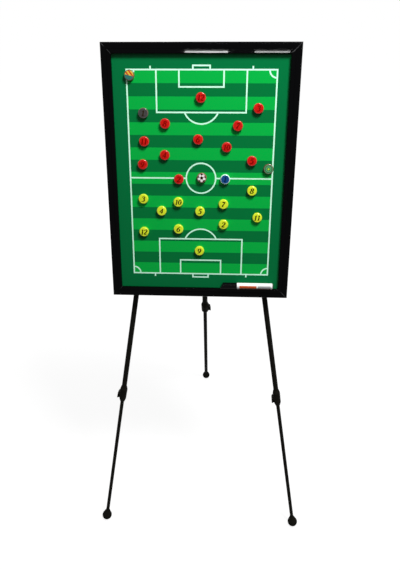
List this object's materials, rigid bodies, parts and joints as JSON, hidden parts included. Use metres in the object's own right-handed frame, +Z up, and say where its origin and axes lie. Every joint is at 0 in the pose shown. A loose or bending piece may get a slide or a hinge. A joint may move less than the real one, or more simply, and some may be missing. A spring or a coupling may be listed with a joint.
{
  "type": "tactics board",
  "caption": "Magnetic football tactics board in a black frame on a folding tripod stand with telescopic legs, flip locks, ball feet, numbered magnets and a marker.",
  "frame": {"origin": "on the floor, in the middle of the outline of the three feet", "axes": "+Z up, -Y the way the printed face looks, +X to the right of someone facing it"},
  "size_m": [0.6118, 0.6992, 1.3443],
  "materials": {
    "frame_black": "glossy black coat",
    "key_aluminium": "mill finish",
    "pitch_print": "printed pitch under a glossy laminate",
    "core_board": "fibreboard",
    "back_steel": "satin grey coat",
    "black_steel": "satin powder coat",
    "zinc_steel": "zinc plated",
    "black_tube": "satin powder coat",
    "black_plastic": "fine moulded grain",
    "foot_rubber": "matte",
    "magnet_red": "gloss",
    "magnet_yellow": "gloss",
    "magnet_grey": "gloss",
    "magnet_blue": "gloss, white rim",
    "magnet_ball": "printed ball pattern",
    "magnet_picture": "printed picture, brown rim",
    "marker_white": "gloss with plain colour bands",
    "marker_black": "gloss"
  },
  "bodies": {
    "board": {"frame_rail_top": "frame_black", "frame_rail_right": "frame_black", "frame_rail_bottom": "frame_black", "frame_rail_left": "frame_black", "corner_keys": "key_aluminium", "face_sheet": "pitch_print", "core_panel": "core_board", "back_sheet": "back_steel", "head_bracket": "black_steel", "bracket_fasteners": "zinc_steel"},
    "front_left_leg": {"front_left_eye": "black_plastic", "front_left_upper_tube": "black_tube", "front_left_lock_collar": "black_plastic", "front_left_lock_pin": "black_steel"},
    "front_left_lever": {"front_left_lock_lever": "black_plastic"},
    "front_left_extension": {"front_left_lower_tube": "black_tube", "front_left_foot": "foot_rubber"},
    "front_right_leg": {"front_right_eye": "black_plastic", "front_right_upper_tube": "black_tube", "front_right_lock_collar": "black_plastic", "front_right_lock_pin": "black_steel"},
    "front_right_lever": {"front_right_lock_lever": "black_plastic"},
    "front_right_extension": {"front_right_lower_tube": "black_tube", "front_right_foot": "foot_rubber"},
    "rear_leg": {"rear_eye": "black_plastic", "rear_upper_tube": "black_tube", "rear_lock_collar": "black_plastic", "rear_lock_pin": "black_steel"},
    "rear_lever": {"rear_lock_lever": "black_plastic"},
    "rear_extension": {"rear_lower_tube": "black_tube", "rear_foot": "foot_rubber"},
    "marker": {"marker_barrel": "marker_white"},
    "marker_cap": {"marker_cap": "marker_black"},
    "magnet_red_02": {"magnet_red_02": "magnet_red"},
    "magnet_red_03": {"magnet_red_03": "magnet_red"},
    "magnet_red_04": {"magnet_red_04": "magnet_red"},
    "magnet_red_05": {"magnet_red_05": "magnet_red"},
    "magnet_red_06": {"magnet_red_06": "magnet_red"},
    "magnet_red_07": {"magnet_red_07": "magnet_red"},
    "magnet_red_08": {"magnet_red_08": "magnet_red"},
    "magnet_red_09": {"magnet_red_09": "magnet_red"},
    "magnet_red_10": {"magnet_red_10": "magnet_red"},
    "magnet_red_11": {"magnet_red_11": "magnet_red"},
    "magnet_red_12": {"magnet_red_12": "magnet_red"},
    "magnet_yellow_02": {"magnet_yellow_02": "magnet_yellow"},
    "magnet_yellow_03": {"magnet_yellow_03": "magnet_yellow"},
    "magnet_yellow_04": {"magnet_yellow_04": "magnet_yellow"},
    "magnet_yellow_05": {"magnet_yellow_05": "magnet_yellow"},
    "magnet_yellow_06": {"magnet_yellow_06": "magnet_yellow"},
    "magnet_yellow_07": {"magnet_yellow_07": "magnet_yellow"},
    "magnet_yellow_08": {"magnet_yellow_08": "magnet_yellow"},
    "magnet_yellow_09": {"magnet_yellow_09": "magnet_yellow"},
    "magnet_yellow_10": {"magnet_yellow_10": "magnet_yellow"},
    "magnet_yellow_11": {"magnet_yellow_11": "magnet_yellow"},
    "magnet_yellow_12": {"magnet_yellow_12": "magnet_yellow"},
    "magnet_keeper_grey": {"magnet_keeper_grey": "magnet_grey"},
    "magnet_keeper_blue": {"magnet_keeper_blue": "magnet_blue"},
    "magnet_ball": {"magnet_ball": "magnet_ball"},
    "magnet_picture_left": {"magnet_picture_left": "magnet_picture"},
    "magnet_picture_right": {"magnet_picture_right": "magnet_picture"}
  },
  "joints": [
    {"name": "front_left_fold", "type": "hinge", "parent": "board", "child": "front_left_leg", "pos_m": [-0.079, -0.06389, 1.2895], "axis": [0, -0.9781, 0.2079], "range_deg": [0, 9.25]},
    {"name": "front_right_fold", "type": "hinge", "parent": "board", "child": "front_right_leg", "pos_m": [0.079, -0.06389, 1.2895], "axis": [0, 0.9781, -0.2079], "range_deg": [0, 9.25]},
    {"name": "rear_fold", "type": "hinge", "parent": "board", "child": "rear_leg", "pos_m": [0, -0.0546, 1.28752], "axis": [-1, 0, 0], "range_deg": [0, 29]},
    {"name": "front_left_slide", "type": "slide", "parent": "front_left_leg", "child": "front_left_extension", "axis": [-0.1607, -0.2052, -0.9654], "range_m": [-0.39, 0.29]},
    {"name": "front_right_slide", "type": "slide", "parent": "front_right_leg", "child": "front_right_extension", "axis": [0.1607, -0.2052, -0.9654], "range_m": [-0.39, 0.29]},
    {"name": "rear_slide", "type": "slide", "parent": "rear_leg", "child": "rear_extension", "axis": [0, 0.2925, -0.9563], "range_m": [-0.39, 0.29]},
    {"name": "front_left_lock", "type": "hinge", "parent": "front_left_leg", "child": "front_left_lever", "pos_m": [-0.22819, -0.24232, 0.45007], "axis": [0, 0.9781, -0.2079], "range_deg": [0, 95]},
    {"name": "front_right_lock", "type": "hinge", "parent": "front_right_leg", "child": "front_right_lever", "pos_m": [0.20983, -0.24294, 0.44715], "axis": [0, 0.9781, -0.2079], "range_deg": [0, 95]},
    {"name": "rear_lock", "type": "hinge", "parent": "rear_leg", "child": "rear_lever", "pos_m": [0.01209, 0.20016, 0.45461], "axis": [0, -0.9563, -0.2925], "range_deg": [0, 95]},
    {"name": "marker_lift", "type": "slide", "parent": "board", "child": "marker", "axis": [0, -0.9781, 0.2079], "range_m": [0, 0.06]},
    {"name": "cap_pull", "type": "slide", "parent": "marker", "child": "marker_cap", "axis": [-1, 0, 0], "range_m": [0, 0.04]},
    {"name": "magnet_red_02_lift", "type": "slide", "parent": "board", "child": "magnet_red_02", "axis": [0, -0.9781, 0.2079], "range_m": [0, 0.04]},
    {"name": "magnet_red_03_lift", "type": "slide", "parent": "board", "child": "magnet_red_03", "axis": [0, -0.9781, 0.2079], "range_m": [0, 0.04]},
    {"name": "magnet_red_04_lift", "type": "slide", "parent": "board", "child": "magnet_red_04", "axis": [0, -0.9781, 0.2079], "range_m": [0, 0.04]},
    {"name": "magnet_red_05_lift", "type": "slide", "parent": "board", "child": "magnet_red_05", "axis": [0, -0.9781, 0.2079], "range_m": [0, 0.04]},
    {"name": "magnet_red_06_lift", "type": "slide", "parent": "board", "child": "magnet_red_06", "axis": [0, -0.9781, 0.2079], "range_m": [0, 0.04]},
    {"name": "magnet_red_07_lift", "type": "slide", "parent": "board", "child": "magnet_red_07", "axis": [0, -0.9781, 0.2079], "range_m": [0, 0.04]},
    {"name": "magnet_red_08_lift", "type": "slide", "parent": "board", "child": "magnet_red_08", "axis": [0, -0.9781, 0.2079], "range_m": [0, 0.04]},
    {"name": "magnet_red_09_lift", "type": "slide", "parent": "board", "child": "magnet_red_09", "axis": [0, -0.9781, 0.2079], "range_m": [0, 0.04]},
    {"name": "magnet_red_10_lift", "type": "slide", "parent": "board", "child": "magnet_red_10", "axis": [0, -0.9781, 0.2079], "range_m": [0, 0.04]},
    {"name": "magnet_red_11_lift", "type": "slide", "parent": "board", "child": "magnet_red_11", "axis": [0, -0.9781, 0.2079], "range_m": [0, 0.04]},
    {"name": "magnet_red_12_lift", "type": "slide", "parent": "board", "child": "magnet_red_12", "axis": [0, -0.9781, 0.2079], "range_m": [0, 0.04]},
    {"name": "magnet_yellow_02_lift", "type": "slide", "parent": "board", "child": "magnet_yellow_02", "axis": [0, -0.9781, 0.2079], "range_m": [0, 0.04]},
    {"name": "magnet_yellow_03_lift", "type": "slide", "parent": "board", "child": "magnet_yellow_03", "axis": [0, -0.9781, 0.2079], "range_m": [0, 0.04]},
    {"name": "magnet_yellow_04_lift", "type": "slide", "parent": "board", "child": "magnet_yellow_04", "axis": [0, -0.9781, 0.2079], "range_m": [0, 0.04]},
    {"name": "magnet_yellow_05_lift", "type": "slide", "parent": "board", "child": "magnet_yellow_05", "axis": [0, -0.9781, 0.2079], "range_m": [0, 0.04]},
    {"name": "magnet_yellow_06_lift", "type": "slide", "parent": "board", "child": "magnet_yellow_06", "axis": [0, -0.9781, 0.2079], "range_m": [0, 0.04]},
    {"name": "magnet_yellow_07_lift", "type": "slide", "parent": "board", "child": "magnet_yellow_07", "axis": [0, -0.9781, 0.2079], "range_m": [0, 0.04]},
    {"name": "magnet_yellow_08_lift", "type": "slide", "parent": "board", "child": "magnet_yellow_08", "axis": [0, -0.9781, 0.2079], "range_m": [0, 0.04]},
    {"name": "magnet_yellow_09_lift", "type": "slide", "parent": "board", "child": "magnet_yellow_09", "axis": [0, -0.9781, 0.2079], "range_m": [0, 0.04]},
    {"name": "magnet_yellow_10_lift", "type": "slide", "parent": "board", "child": "magnet_yellow_10", "axis": [0, -0.9781, 0.2079], "range_m": [0, 0.04]},
    {"name": "magnet_yellow_11_lift", "type": "slide", "parent": "board", "child": "magnet_yellow_11", "axis": [0, -0.9781, 0.2079], "range_m": [0, 0.04]},
    {"name": "magnet_yellow_12_lift", "type": "slide", "parent": "board", "child": "magnet_yellow_12", "axis": [0, -0.9781, 0.2079], "range_m": [0, 0.04]},
    {"name": "magnet_keeper_grey_lift", "type": "slide", "parent": "board", "child": "magnet_keeper_grey", "axis": [0, -0.9781, 0.2079], "range_m": [0, 0.04]},
    {"name": "magnet_keeper_blue_lift", "type": "slide", "parent": "board", "child": "magnet_keeper_blue", "axis": [0, -0.9781, 0.2079], "range_m": [0, 0.04]},
    {"name": "magnet_ball_lift", "type": "slide", "parent": "board", "child": "magnet_ball", "axis": [0, -0.9781, 0.2079], "range_m": [0, 0.04]},
    {"name": "magnet_picture_left_lift", "type": "slide", "parent": "board", "child": "magnet_picture_left", "axis": [0, -0.9781, 0.2079], "range_m": [0, 0.04]},
    {"name": "magnet_picture_right_lift", "type": "slide", "parent": "board", "child": "magnet_picture_right", "axis": [0, -0.9781, 0.2079], "range_m": [0, 0.04]}
  ]
}
